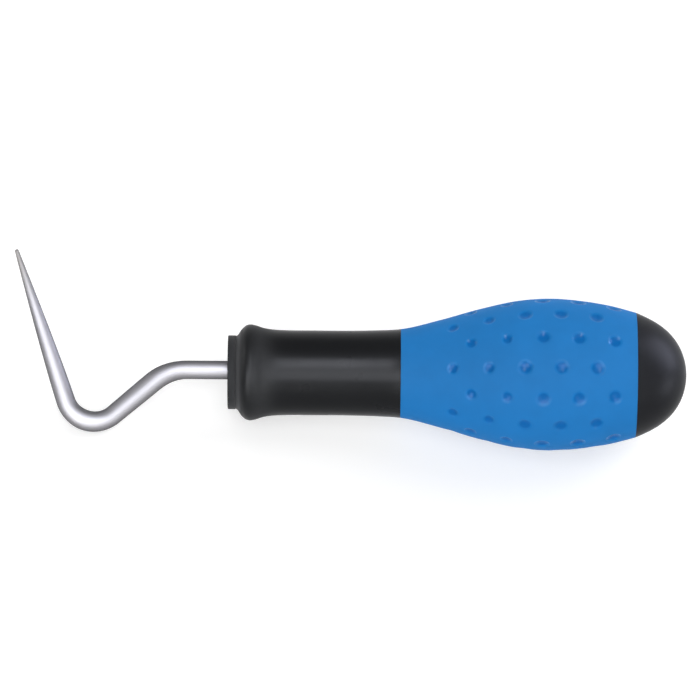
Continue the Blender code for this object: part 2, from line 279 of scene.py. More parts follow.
@dataclass(frozen=True)
class ToolAxes:
    """The tool's own axes in the model: X along the handle, the hook bent in XY with its tip at +Y.

    Attributes:
        origin: Centre of the nose face.
        along: Direction of the handle from its nose.
        across: Direction in which the hook's tip stands off.
        facing: Direction square to the hook's plane.
    """

    origin: np.ndarray
    along: np.ndarray
    across: np.ndarray
    facing: np.ndarray

    @classmethod
    def from_record(cls, record: dict, roll: float, mount_offset: float) -> "ToolAxes":
        """Find the axes from the flat mount on the nose face.

        Args:
            record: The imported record.
            roll: How far the tool has rolled about its handle as it lies, in radians.
            mount_offset: Place of the mount on the nose face, along the tool's Y.

        Returns:
            The tool's axes.
        """
        mount = record["mounts"][0]
        along = -np.array(mount["axis"], float)
        along /= np.linalg.norm(along)
        level = np.cross((0, 0, 1), along)
        level /= np.linalg.norm(level)
        upright = np.cross(along, level)
        across = math.cos(roll) * level + math.sin(roll) * upright
        facing = np.cross(along, across)
        origin = np.array(mount["pos_m"], float) - mount_offset * across
        return cls(origin, along, across, facing)

    def place(self, points: np.ndarray) -> np.ndarray:
        """Carry points from the tool's axes into the model's."""
        return self.origin + points @ np.stack([self.along, self.across, self.facing])


def make_piece(
    name: str,
    points: np.ndarray,
    ends: Ends,
    axes: ToolAxes,
    lengths: np.ndarray,
    girth: float,
    marks: np.ndarray | None = None,
) -> bpy.types.Object:
    """Make one closed piece from rings of points.

    Args:
        name: Name of the piece.
        points: Rings by sides by 3 coordinates, in the tool's axes.
        ends: How the row of rings is closed.
        axes: The tool's axes in the model.
        lengths: Length along the surface at each ring, in metres, for the surface map.
        girth: Length round the piece that the map's other side stands for, in metres.
        marks: Share at each point of wear, of a painted highlight with wear, or of dimple, whose
        floor takes painted shade; or None.

    Returns:
        The new object, at the origin, with its place in its mesh.
    """
    if not outward(points):
        points = points[::-1]
        lengths = lengths[::-1]
        marks = None if marks is None else marks[::-1]
    rings, sides = points.shape[:2]
    faces, corners = quad_grid(rings, sides, ends)
    flat = points.reshape(-1, 3)
    if ends is Ends.POLES:
        flat = np.vstack([points[0, :1], points[1:-1].reshape(-1, 3), points[-1, :1]])
    mesh = bpy.data.meshes.new(name)
    mesh.from_pydata(axes.place(flat).tolist(), [], faces)
    ring_length = np.append(lengths, lengths[0]) if ends is Ends.LOOP else lengths
    surface = np.stack([ring_length[corners[:, 0]], corners[:, 1] / sides * girth], axis=-1)
    layer = mesh.uv_layers.new(name=SURFACE_MAP)
    layer.data.foreach_set("uv", surface.astype(np.float32).ravel())
    if marks is not None:
        kept = slice(sides - 1, 1 - sides) if ends is Ends.POLES else slice(None)
        layer = mesh.attributes.new(MARK, "FLOAT", "POINT")
        layer.data.foreach_set("value", marks.astype(np.float32).ravel()[kept])
    mesh.shade_smooth()
    mesh.update()
    piece = bpy.data.objects.new(name, mesh)
    bpy.context.scene.collection.objects.link(piece)
    return piece


def arc_lengths(points: np.ndarray) -> np.ndarray:
    """Length along a row of points, from 0 at the first."""
    return np.append(0, np.cumsum(np.linalg.norm(np.diff(points, axis=0), axis=1)))


def settle(piece: bpy.types.Object, node: str, material: bpy.types.Material) -> None:
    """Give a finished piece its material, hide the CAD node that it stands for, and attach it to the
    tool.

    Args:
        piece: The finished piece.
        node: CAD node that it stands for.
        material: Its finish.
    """
    piece.data.materials.append(material)
    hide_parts(node)
    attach(piece, Body.TOOL.value)
    LOG.info("%s: %d faces, %s", piece.name, len(piece.data.polygons), material.name)


# ---------------------------------------------------------------- nodes that the finishes share


def noise(tree: Tree, place: Socket, scale: float, detail: float, rough: float) -> Socket:
    """Add a noise pattern with so many cells in a unit of place; it mostly stays in NOISE_SPAN."""
    settings = {"Scale": scale, "Detail": detail, "Roughness": rough}
    return add_node(tree, "ShaderNodeTexNoise", settings, {"Vector": place}).outputs["Fac"]


def remap(tree: Tree, value: Socket, onto: Pair, span: Pair = (0.0, 1.0)) -> Socket:
    """Add a straight map from a span of values onto another, held at its ends."""
    ends = dict(zip(("From Min", "From Max", "To Min", "To Max"), (*span, *onto)))
    return add_node(tree, "ShaderNodeMapRange", ends, {"Value": value}).outputs["Result"]


def vary(tree: Tree, pattern: Socket, middle: float, share: float) -> Socket:
    """Add a value that a noise pattern moves by a share up and down from its middle."""
    return remap(tree, pattern, (middle - share, middle + share), NOISE_SPAN)


def combine(tree: Tree, operation: str, first: Socket, second: Socket) -> Socket:
    """Add a sum on two values, such as "ADD"."""
    links = {0: first, 1: second}
    return add_node(tree, "ShaderNodeMath", {"operation": operation}, links).outputs["Value"]


def mix_colours(tree: Tree, share: Socket, first: str, second: str) -> Socket:
    """Add a mix of two hex colours by the share of the second."""
    settings = {"data_type": "RGBA", 6: linear(first), 7: linear(second)}
    return add_node(tree, "ShaderNodeMix", settings, {0: share}).outputs[2]


def raise_grain(tree: Tree, height: Socket, depth: float, strength: float = 1.0) -> Socket:
    """Add a bump of a depth in metres, and give its normal."""
    settings = {"Strength": strength, "Distance": depth}
    return add_node(tree, "ShaderNodeBump", settings, {"Height": height}).outputs["Normal"]


def read_mark(tree: Tree) -> Socket:
    """Add the piece's own attribute for marks, from 0 to 1."""
    return add_node(tree, "ShaderNodeAttribute", {"attribute_name": MARK}).outputs["Fac"]


def object_place(tree: Tree) -> Socket:
    """Add the place on the object, in metres."""
    return add_node(tree, "ShaderNodeTexCoord").outputs["Object"]


def close_surface(tree: Tree, settings: dict, links: dict) -> None:
    """Add the Principled shader, by names of its inputs, and the output that it feeds."""
    shader = add_node(tree, "ShaderNodeBsdfPrincipled", settings, links)
    add_node(tree, "ShaderNodeOutputMaterial", None, {"Surface": shader.outputs["BSDF"]})


# ---------------------------------------------------------------- finishes


@dataclass(frozen=True)
class SatinSteel:
    """Drawn carbon steel bar, ground lengthwise and satin nickel plated, worn at its point.

    The fine lengthwise grinding spreads each light into a soft band along the bar, by stretch and
    turn. The rim tints what the bar mirrors at a slant and keeps its edges dark. Where the plating
    is worn the bands are duller, a little warmer, and wider by the roughness wear.
    """

    name: str = "nickel_plated_steel_satin"
    colour: str = "#636264"
    worn: str = "#5B5957"
    rim: str = "#0C0C0E"
    roughness: float = 0.46
    wear: float = 0.14
    stretch: float = 0.6
    turn: float = 0.25
    streak_width: float = 0.18 * MM
    streak_length: float = 14 * MM
    streak_share: float = 0.05
    streak_depth: float = 0.004 * MM
    streak_strength: float = 0.25

    def material(self) -> bpy.types.Material:
        """Build the material: streaks on the piece's own map, and wear where it is marked.

        Returns:
            The material.
        """
        material, tree = blank_material(self.name)
        place = add_node(tree, "ShaderNodeUVMap", {"uv_map": SURFACE_MAP}).outputs["UV"]
        scale = (1 / self.streak_length, 1 / self.streak_width, 1)
        stretched = add_node(tree, "ShaderNodeMapping", {"Scale": scale}, {"Vector": place})
        streaks = noise(tree, stretched.outputs["Vector"], 1.0, 3.0, 0.6)
        mark = read_mark(tree)
        roughness = vary(tree, streaks, self.roughness, self.streak_share)
        wear = remap(tree, mark, (0.0, self.wear))
        along = {"direction_type": "UV_MAP", "uv_map": SURFACE_MAP}
        settings = {
            "Metallic": 1.0,
            "Specular Tint": linear(self.rim),
            "Anisotropic": self.stretch,
            "Anisotropic Rotation": self.turn,
        }
        links = {
            "Base Color": mix_colours(tree, mark, self.colour, self.worn),
            "Roughness": combine(tree, "ADD", roughness, wear),
            "Normal": raise_grain(tree, streaks, self.streak_depth, self.streak_strength),
            "Tangent": add_node(tree, "ShaderNodeTangent", along).outputs["Tangent"],
        }
        close_surface(tree, settings, links)
        return material


@dataclass(frozen=True)
class MouldedPolymer:
    """Black polypropylene, injection moulded against a spark-eroded or a smooth mould.

    The grain of the mould breaks the gloss into a soft sheen, and wide patches vary it. Where it is
    marked it is painted paler, a painted highlight, and it is duller: wear is the roughness added, in
    full from the mark wear_from on.
    Fine dust gives it a weak sheen of its own.
    """

    name: str
    colour: str = "#17181A"
    roughness: float = 0.34
    gloss: float = 0.055
    grain_size: float = 0.35 * MM
    grain_depth: float = 0.006 * MM
    patch_size: float = 9 * MM
    patch_share: float = 0.03
    # Paler colour mixed in where marked: a painted highlight.
    painted_highlight_and_wear: str = "#47484A"
    wear: float = 0.22
    wear_from: float = 0.2
    dust: float = 0.0
    dust_roughness: float = 0.5

    def material(self) -> bpy.types.Material:
        """Build the material: fine mould grain as bump, wide soft patches in the roughness.

        Returns:
            The material.
        """
        material, tree = blank_material(self.name)
        place, mark = object_place(tree), read_mark(tree)
        grain = noise(tree, place, 1 / self.grain_size, 2.0, 0.5)
        patches = noise(tree, place, 1 / self.patch_size, 3.0, 0.55)
        roughness = vary(tree, patches, self.roughness, self.patch_share)
        wear = remap(tree, mark, (0.0, self.wear), (0.0, self.wear_from))
        settings = {
            "Specular IOR Level": self.gloss,
            "Sheen Weight": self.dust,
            "Sheen Roughness": self.dust_roughness,
        }
        # The mark mixes the colour towards a paler one, a painted highlight, and adds real wear to
        # the roughness.
        links = {
            "Base Color": mix_colours(tree, mark, self.colour, self.painted_highlight_and_wear),
            "Roughness": combine(tree, "ADD", roughness, wear),
            "Normal": raise_grain(tree, grain, self.grain_depth),
        }
        close_surface(tree, settings, links)
        return material


@dataclass(frozen=True)
class SoftElastomer:
    """Blue thermoplastic elastomer, moulded matte, with the dimples left smooth by their pins.

    The matte skin looks even and a little chalky; the smooth dimples catch the light on one side,
    and their floors are painted a deeper blue, painted shade in the recess. The spans are the marks
    over which the skin turns smooth and takes the painted shade of a dimple's floor, and dimple_grain
    is the share of its grain that is left there.
    """

    name: str = "thermoplastic_elastomer_matte"
    colour: str = "#1971B5"
    # Deeper blue for the dimples' floors: painted shade in the recess.
    painted_dimple_shade: str = "#0460A6"
    roughness: float = 0.75
    dimple_roughness: float = 0.24
    gloss: float = 0.05
    sheen: float = 0.06
    sheen_roughness: float = 0.4
    grain_size: float = 0.4 * MM
    grain_depth: float = 0.008 * MM
    dimple_grain: float = 0.2
    patch_size: float = 7 * MM
    patch_share: float = 0.04
    smooth_span: tuple[float, float] = (0.0, 0.3)
    painted_shade_span: tuple[float, float] = (0.55, 1.0)

    def material(self) -> bpy.types.Material:
        """Build the material: the marks tell the skin from the dimples.

        Returns:
            The material.
        """
        material, tree = blank_material(self.name)
        place, mark = object_place(tree), read_mark(tree)
        dimple = remap(tree, mark, (0.0, 1.0), self.smooth_span)
        floor = remap(tree, mark, (0.0, 1.0), self.painted_shade_span)
        grain = noise(tree, place, 1 / self.grain_size, 2.0, 0.55)
        patches = noise(tree, place, 1 / self.patch_size, 4.0, 0.6)
        skin = add_node(
            tree,
            "ShaderNodeHueSaturation",
            {"Color": linear(self.colour)},
            {"Value": vary(tree, patches, 1.0, self.patch_share)},
        )
        # Mix the painted shade into each dimple's floor.
        colour = add_node(
            tree,
            "ShaderNodeMix",
            {"data_type": "RGBA", 7: linear(self.painted_dimple_shade)},
            {0: floor, 6: skin.outputs["Color"]},
        )
        depths = (self.grain_depth, self.grain_depth * self.dimple_grain)
        relief = {"Height": grain, "Distance": remap(tree, dimple, depths)}
        bump = add_node(tree, "ShaderNodeBump", {"Strength": 1.0}, relief)
        settings = {
            "Specular IOR Level": self.gloss,
            "Sheen Weight": self.sheen,
            "Sheen Roughness": self.sheen_roughness,
        }
        links = {
            "Base Color": colour.outputs[2],
            "Roughness": remap(tree, dimple, (self.roughness, self.dimple_roughness)),
            "Normal": bump.outputs["Normal"],
        }
        close_surface(tree, settings, links)
        return material


@dataclass(frozen=True)
class StudioPaper:
    """Pale seamless paper that cameras, metal and glass see as white, and that keeps shadows.

    Its own light has the strength lift up to the distance near, and 1 from the distance far.
    """

    name: str = "seamless_paper_pale"
    colour: str = "#D2D2D2"
    lift: float = 0.5
    near: float = 0.35
    far: float = 1.2

    def material(self) -> bpy.types.Material:
        """Build the material: its own light grows to a strength of 1 away from the object.

        Returns:
            The material.
        """
        material, tree = blank_material(self.name)
        measure = {"operation": "LENGTH"}
        distance = add_node(tree, "ShaderNodeVectorMath", measure, {0: object_place(tree)})
        lift = remap(tree, distance.outputs["Value"], (self.lift, 1.0), (self.near, self.far))
        path = add_node(tree, "ShaderNodeLightPath").outputs
        seen = combine(tree, "MAXIMUM", path["Is Camera Ray"], path["Is Glossy Ray"])
        seen = combine(tree, "MAXIMUM", seen, path["Is Transmission Ray"])
        strength = combine(tree, "MULTIPLY", seen, lift)
        paper = add_node(tree, "ShaderNodeBsdfDiffuse", {"Color": linear(self.colour)})
        glow = add_node(tree, "ShaderNodeEmission", None, {"Strength": strength})
        halves = {0: paper.outputs["BSDF"], 1: glow.outputs["Emission"]}
        both = add_node(tree, "ShaderNodeAddShader", None, halves)
        add_node(tree, "ShaderNodeOutputMaterial", None, {"Surface": both.outputs["Shader"]})
        return material


# ---------------------------------------------------------------- the handle's form


@dataclass(frozen=True)
class HandleForm:
    """Sizes that the handle's mouldings share, along its axis from the nose face.

    The core keeps its clearance from what is moulded round it, and carries keys and a spigot. The
    nose is painted paler, a painted highlight, and worn, most at highlight_and_wear_at, and the
    flange's crest a little at crest_highlight_and_wear_at. The dome's three factors belong to the
    powers of its cubic. Each table of shares gives the form of one stretch as rows of (share of its
    length, share of its radius).
    """

    clearance: float = 0.3 * MM
    ring_length: float = 1.8 * MM
    ring_radius: float = 8.475 * MM
    groove_length: float = 0.25 * MM
    groove_radius: float = 8.4 * MM
    flange_radius: float = 11.02 * MM
    neck_start: float = 10 * MM
    neck_radius: float = 9.74 * MM
    neck_end: float = 39.6 * MM
    seam_radius: float = 10.2 * MM
    grip_radius: float = 17.42 * MM
    grip_end: float = 93.55 * MM
    length: float = 105.2 * MM
    dome_roundness: float = 1.6585
    dome_flattening: float = 1.4441
    dome_fullness: float = 0.7172
    core_radius: float = 6.5 * MM
    grip_wall: float = 4.0 * MM
    key_length: float = 3 * MM
    key_height: float = 1.2 * MM
    key_side: float = 0.02 * MM
    spigot_radius: float = 6.0 * MM
    spigot_length: float = 4.0 * MM
    seam_round: float = 0.05 * MM
    highlight_and_wear_at: float = 2.35 * MM
    highlight_and_wear_width: float = 0.7 * MM
    crest_highlight_and_wear_at: float = 7.4 * MM
    crest_highlight_and_wear_width: float = 3.0 * MM
    crest_highlight_and_wear_share: float = 0.2
    core_steps: int = 24
    flange_shares: tuple[Pair, ...] = (
        *((0, 0.77), (0.02, 0.779), (0.12, 0.884), (0.245, 0.971)),
        *((0.371, 1.0), (0.522, 0.9855), (0.748, 0.933)),
    )
    neck_shares: tuple[Pair, ...] = (
        *((0, 1.0206), (0.1, 1.004), (0.34, 1.0), (0.61, 1.0), (0.81, 1.0145)),
    )
    grip_shares: tuple[Pair, ...] = (
        *((0.1687, 0.709), (0.3392, 0.8594), (0.5098, 0.973)),
        *((0.6284, 1.0), (0.7674, 0.9719), (0.8971, 0.907)),
    )

    @property
    def flange_start(self) -> float:
        """Where the finger flange starts."""
        return self.ring_length + self.groove_length

    @property
    def grip_length(self) -> float:
        """Length of the blue grip."""
        return self.grip_end - self.neck_end

    def stations(self) -> np.ndarray:
        """List the places along the handle at which its radius is set.

        Returns:
            Rows of (x, radius).
        """
        flange = (self.neck_start - self.flange_start, self.flange_radius)
        neck = (self.neck_end - self.neck_start, self.neck_radius)
        grip = (self.grip_length, self.grip_radius)
        return np.vstack(
            [
                np.array(self.flange_shares) * flange + (self.flange_start, 0),
                np.array(self.neck_shares) * neck + (self.neck_start, 0),
                [(self.neck_end, self.seam_radius)],
                np.array(self.grip_shares) * grip + (self.neck_end, 0),
                [(self.grip_end, float(self.dome(np.array(self.grip_end))))],
            ]
        )

    def dome(self, x: np.ndarray) -> np.ndarray:
        """Work out the end cap's radius, whose square is a cubic of the distance from its end.

        Args:
            x: Places along the axis.

        Returns:
            The radius at each.
        """
        share = np.clip((self.length - x) / self.grip_radius, 0, None)
        square = self.dome_roundness * share - self.dome_flattening * share**2
        return self.grip_radius * np.sqrt(np.clip(square + self.dome_fullness * share**3, 0, None))

    def radius(self, x: np.ndarray) -> np.ndarray:
        """Outer radius of the neck and the grip at x."""
        return curve_through(self.stations(), np.asarray(x, float))

    def painted_highlight_and_wear(self, x: np.ndarray, sides: int) -> np.ndarray:
        """Work out the nose's painted highlight and wear, as a bell over x at its joint and at its
        crest.

        Args:
            x: Place of each ring along the axis.
            sides: Number of points round each ring.

        Returns:
            Share from 0 to 1 at each ring and side.
        """
        # Bells of painted highlight and wear: the joint in full, the crest by a share.
        joint = np.exp(-(((x - self.highlight_and_wear_at) / self.highlight_and_wear_width) ** 2))
        crest = np.exp(-(((x - self.crest_highlight_and_wear_at) / self.crest_highlight_and_wear_width) ** 2))
        return np.tile((joint + self.crest_highlight_and_wear_share * crest)[:, None], sides)

    def keys(self) -> np.ndarray:
        """Work out where the core's keys start, two in the neck and two in the grip.

        Returns:
            Places along the axis.
        """
        neck = self.neck_end - self.neck_start
        in_neck = self.neck_start + np.array((0.1, 0.575)) * neck
        return np.append(in_neck, self.neck_end + np.array((0.34, 0.78)) * self.grip_length)

    def core_outline(self, start: float, end: float, clearance: float = 0.0) -> np.ndarray:
        """Outline of the keyed core, or of what is moulded round it.

        The radius is the greater of the plain neck and one wall under the grip, plus a key's height
        where a key stands.

        Args:
            start: Where the outline starts.
            end: Where it ends.
            clearance: How far it stands off the core.

        Returns:
            Points (x, radius) from start to end.
        """
        first = self.keys() - clearance
        last = self.keys() + self.key_length + clearance
        side = self.key_side
        knots = np.stack([first, first + side, last - side, last], axis=-1).ravel()
        rise = np.tile([0.0, 1.0, 1.0, 0.0], len(first))
        x = np.concatenate([np.linspace(start, end, self.core_steps), knots])
        x = np.unique(x[(x >= start) & (x <= end)])
        plain = np.maximum(self.core_radius, self.radius(x) - self.grip_wall)
        raised = np.interp(x, knots, rise) * self.key_height
        return np.stack([x, plain + raised + clearance], axis=-1)


# ---------------------------------------------------------------- the pieces


@dataclass(frozen=True)
class PickRod:
    """The bent steel bar, from the end of its pinched tang to its rounded tip.

    Outside the handle it runs on at its offset from the axis for its reach, bends down the ramp,
    turns through the hook and rises as the blade; both angles are against the axis. Its diameter
    goes from the shank through the ramp's swell and waist and the hook's swell to the blade's root,
    and falls to the tip. Inside, the wings stand at shares of the tang's depth.
    """

    shank: float = 4.26 * MM
    offset: float = 0.48 * MM
    reach: float = 13.8 * MM
    first_bend: float = 12.2 * MM
    ramp_angle: float = math.radians(40.1)
    ramp_length: float = 26.33 * MM
    hook_bend: float = 6.9 * MM
    blade_angle: float = math.radians(71.5)
    blade_length: float = 46.3 * MM
    ramp_swell: float = 4.72 * MM
    ramp_waist: float = 4.48 * MM
    hook_swell: float = 4.75 * MM
    blade_root: float = 4.38 * MM
    tip: float = 0.9 * MM
    taper_power: float = 1.4
    worn_length: float = 16 * MM
    bend_steps: tuple[int, int] = (20, 44)
    ramp_steps: int = 12
    blade_steps: int = 59
    tip_steps: int = 8
    wing_steps: int = 15
    tang_depth: float = 58 * MM
    wing_shares: tuple[float, float] = (0.585, 0.825)
    wing_length: float = 9 * MM
    wing_edge: float = 0.25
    wing_width: float = 7.4 * MM
    wing_thickness: float = 2.4 * MM
    sides: int = 72
    finish: SatinSteel = field(default_factory=SatinSteel)

    def corners(self) -> np.ndarray:
        """Work out the start, the two corners and the tip of the centreline.

        Returns:
            Four points in the XY plane.
        """
        ramp = np.array((math.cos(self.ramp_angle), math.sin(self.ramp_angle)))
        blade = np.array((-math.cos(self.blade_angle), math.sin(self.blade_angle)))
        first = np.array((-self.reach, self.offset))
        second = first - self.ramp_length * ramp
        return np.stack([(0.0, self.offset), first, second, second + self.blade_length * blade])

    def bend(self, corner: int, radius: float, steps: int) -> np.ndarray:
        """Work out the arc that rounds a corner of the centreline.

        The arc's centre is radius away from both runs, and its points are centre + R(a) arm, with a
        from 0 to the whole turn.

        Args:
            corner: Number of the corner.
            radius: Radius of the arc.
            steps: Number of steps along it.

        Returns:
            Points from the run before the corner to the run after it.
        """
        before, at, after = self.corners()[corner - 1 : corner + 2]
        into = (at - before) / np.linalg.norm(at - before)
        out = (after - at) / np.linalg.norm(after - at)
        turn = math.atan2(into[0] * out[1] - into[1] * out[0], float(into @ out))
        start = at - into * radius * math.tan(abs(turn) / 2)
        towards = np.array((-into[1], into[0])) * math.copysign(1, turn)
        centre = start + radius * towards
        arm = start - centre
        angle = np.linspace(0, turn, steps + 1)[:, None]
        square = np.array((-arm[1], arm[0]))
        return centre + np.cos(angle) * arm + np.sin(angle) * square

    def hook(self) -> tuple[np.ndarray, np.ndarray]:
        """Work out the centreline outside the handle and its diameters.

        The diameter eases from knot to knot along the bends and falls along the blade with a power
        of the share of its length; the tip is half a sphere.

        Returns:
            Centres in the XY plane and the diameter at each.
        """
        first = self.bend(1, self.first_bend, self.bend_steps[0])
        hook = self.bend(2, self.hook_bend, self.bend_steps[1])
        tip = self.corners()[3]
        run = np.linspace(0, 1, self.ramp_steps + 2)[1:-1, None]
        ramp = first[-1] + run * (hook[0] - first[-1])
        blade = hook[-1] + np.linspace(0, 1, self.blade_steps + 1)[1:, None] * (tip - hook[-1])
        centres = np.vstack([first, ramp, hook, blade])
        along = arc_lengths(centres)
        ramp_start = len(first) - 1
        hook_start = ramp_start + len(ramp) + 1
        blade_start = hook_start + len(hook) - 1
        knots = along[[0, ramp_start, hook_start, hook_start + len(hook) // 2, blade_start]]
        sizes = (self.shank, self.ramp_swell, self.ramp_waist, self.hook_swell, self.blade_root)
        i = np.clip(np.searchsorted(knots, along, side="right") - 1, 0, len(knots) - 2)
        share = smooth_step((along - knots[i]) / (knots[i + 1] - knots[i]))
        diameters = np.array(sizes)[i] + (np.array(sizes)[i + 1] - np.array(sizes)[i]) * share
        taper = np.clip((along - along[blade_start]) / (along[-1] - along[blade_start]), 0, 1)
        diameters = diameters - (self.blade_root - self.tip) * taper**self.taper_power
        heading = (tip - hook[-1]) / np.linalg.norm(tip - hook[-1])
        turn = np.linspace(0, math.pi / 2, self.tip_steps + 1)[1:]
        end = tip + self.tip / 2 * np.sin(turn)[:, None] * heading
        centres = np.vstack([centres, end])
        return centres, np.append(diameters, self.tip * np.cos(turn))

    def tang(self, front: float) -> tuple[np.ndarray, np.ndarray, np.ndarray]:
        """Work out the tang, round but for two wings pinched flat.

        Args:
            front: Where the tang ends in front.

        Returns:
            Centres in the XY plane from the tang's end to the front, with widths and thicknesses.
        """
        wings = self.tang_depth * np.array(self.wing_shares)[:, None]
        wings = wings + self.wing_length * np.linspace(-0.5, 0.5, self.wing_steps)
        x = np.unique(np.concatenate([wings.ravel(), (front, self.tang_depth)]))[::-1]
        centre = self.tang_depth * np.array(self.wing_shares)[:, None]
        away = np.abs(x - centre).min(axis=0)
        flat = smooth_step((0.5 - away / self.wing_length) / self.wing_edge)
        centres = np.stack([x, np.full(len(x), self.offset)], axis=-1)
        widths = self.shank + (self.wing_width - self.shank) * flat
        thicknesses = self.shank + (self.wing_thickness - self.shank) * flat
        return centres, widths, thicknesses

    def build(self, axes: ToolAxes) -> bpy.types.Object:
        """Sweep the section along the centreline.

        A point is centre + width / 2 cos a sideways + thickness / 2 sin a Z, where sideways is
        square to the centreline in the XY plane. The marks rise to 1 at the worn tip.

        Args:
            axes: The tool's axes in the model.

        Returns:
            The bar.
        """
        tang, widths, thicknesses = self.tang(0.0)
        hook, diameters = self.hook()
        centres = np.vstack([tang[:1], tang, hook])
        widths = np.concatenate([[0], widths, diameters])
        thicknesses = np.concatenate([[0], thicknesses, diameters])
        heading = np.gradient(np.vstack([tang, hook]), axis=0)
        heading = np.vstack([heading[:1], heading])
        heading /= np.linalg.norm(heading, axis=1)[:, None]
        sideways = np.stack([-heading[:, 1], heading[:, 0], 0 * heading[:, 0]], axis=-1)
        turn = np.linspace(0, math.tau, self.sides, endpoint=False)
        middle = np.column_stack([centres, np.zeros(len(centres))])
        points = (
            middle[:, None]
            + widths[:, None, None] / 2 * np.cos(turn)[:, None] * sideways[:, None]
            + thicknesses[:, None, None] / 2 * np.sin(turn)[:, None] * np.array((0, 0, 1))
        )
        along = arc_lengths(centres)
        worn = smooth_step(1 - (along[-1] - along) / self.worn_length)
        marks, girth = np.repeat(worn[:, None], self.sides, axis=1), math.pi * self.shank
        return make_piece("bent_bar", points, Ends.POLES, axes, along, girth, marks)

    def dress(self, piece: bpy.types.Object) -> None:
        """Give the bar its satin steel."""
        settle(piece, "pick_rod", self.finish.material())


@dataclass(frozen=True)
class HandleCore:
    """The hard core: the nose ring in front, the keyed body with the tang's bore, the spigot."""

    form: HandleForm
    rod: PickRod
    ring_round: float = 0.22 * MM
    face_share: float = 0.4
    sides: int = 144
    finish: MouldedPolymer = MouldedPolymer(
        "polypropylene_black_fine_grain", colour="#242527", roughness=0.6, gloss=0.05, dust=0.12
    )

    def build(self, axes: ToolAxes) -> bpy.types.Object:
        """Join the bore's rings, which stand off the axis, to the turned outside.

        A point is (x, centre + half width sin a, half thickness cos a).

        Args:
            axes: The tool's axes in the model.

        Returns:
            The core.
        """
        form, ring = self.form, self.form.ring_radius
        clearance = form.clearance
        bore, widths, thicknesses = self.rod.tang(0.0)
        bore_end = self.rod.tang_depth + clearance
        body = form.core_outline(form.ring_length, form.grip_end)
        outer = np.vstack(
            [
                [(0, self.face_share * ring), (0, ring), (form.ring_length, ring)],
                body,
                [
                    (form.grip_end, form.spigot_radius),
                    (form.grip_end + form.spigot_length, form.spigot_radius),
                    (form.grip_end + form.spigot_length, 0),
                ],
            ]
        )
        radii = np.zeros(len(outer))
        radii[[1, 2]] = self.ring_round
        outer = rounded(outer, radii)
        x = np.concatenate([[bore_end, bore_end], bore[1:, 0], outer[:, 0]])
        half_width = np.concatenate([[0, widths[0] / 2 + clearance], widths[1:] / 2 + clearance])
        half_thickness = np.concatenate(
            [[0, thicknesses[0] / 2 + clearance], thicknesses[1:] / 2 + clearance]
        )
        half_width = np.append(half_width, outer[:, 1])
        half_thickness = np.append(half_thickness, outer[:, 1])
        centre = np.append(np.full(len(bore) + 1, self.rod.offset), np.zeros(len(outer)))
        angle = np.linspace(0, math.tau, self.sides, endpoint=False)
        points = np.stack(
            [
                x[:, None] + 0 * angle,
                centre[:, None] + half_width[:, None] * np.sin(angle),
                half_thickness[:, None] * np.cos(angle),
            ],
            axis=-1,
        )
        lengths = arc_lengths(np.stack([x, half_width], axis=-1))
        # The marks paint the nose paler at its joint and crest, a painted highlight, and add wear.
        marks, girth = form.painted_highlight_and_wear(x, self.sides), math.tau * ring
        return make_piece("nose_and_core", points, Ends.POLES, axes, lengths, girth, marks)

    def dress(self, piece: bpy.types.Object) -> None:
        """Give the core its black polymer."""
        settle(piece, "handle_core", self.finish.material())


@dataclass(frozen=True)
class NeckSleeve:
    """The black neck, with the groove and the finger flange at its front."""

    form: HandleForm
    sides: int = 180
    flange_steps: int = 60
    waist_steps: int = 39
    finish: MouldedPolymer = MouldedPolymer(
        "polypropylene_black_spark_eroded", colour="#18191B", roughness=0.29, gloss=0.056
    )

    def build(self, axes: ToolAxes) -> bpy.types.Object:
        """Turn the neck's outline: groove, flange and waist outside, the keyed core's shape inside.

        Args:
            axes: The tool's axes in the model.

        Returns:
            The neck.
        """
        form = self.form
        flange = np.linspace(form.flange_start, form.neck_start, self.flange_steps)
        waist = np.linspace(form.neck_start, form.neck_end, self.waist_steps + 1)[1:]
        outer_x = np.concatenate([flange, waist])
        outer = np.stack([outer_x, form.radius(outer_x)], axis=-1)
        inner = form.core_outline(form.ring_length, form.neck_end, form.clearance)[::-1]
        groove = [(form.ring_length, form.groove_radius), (form.flange_start, form.groove_radius)]
        outline = np.vstack([inner[-1:], groove, outer, inner[:-1]])
        radii = np.zeros(len(outline))
        seam = 2 + len(outer)
        radii[seam] = form.seam_round
        outline = rounded(outline, radii)
        points = turned_rings(outline, self.sides)
        lengths = arc_lengths(outline)
        # The marks paint the nose paler at its joint and crest, a painted highlight, and add wear.
        marks, girth = form.painted_highlight_and_wear(outline[:, 0], self.sides), math.tau * form.neck_radius
        return make_piece("neck", points, Ends.LOOP, axes, lengths, girth, marks)

    def dress(self, piece: bpy.types.Object) -> None:
        """Give the neck its black polymer."""
        settle(piece, "neck_sleeve", self.finish.material())


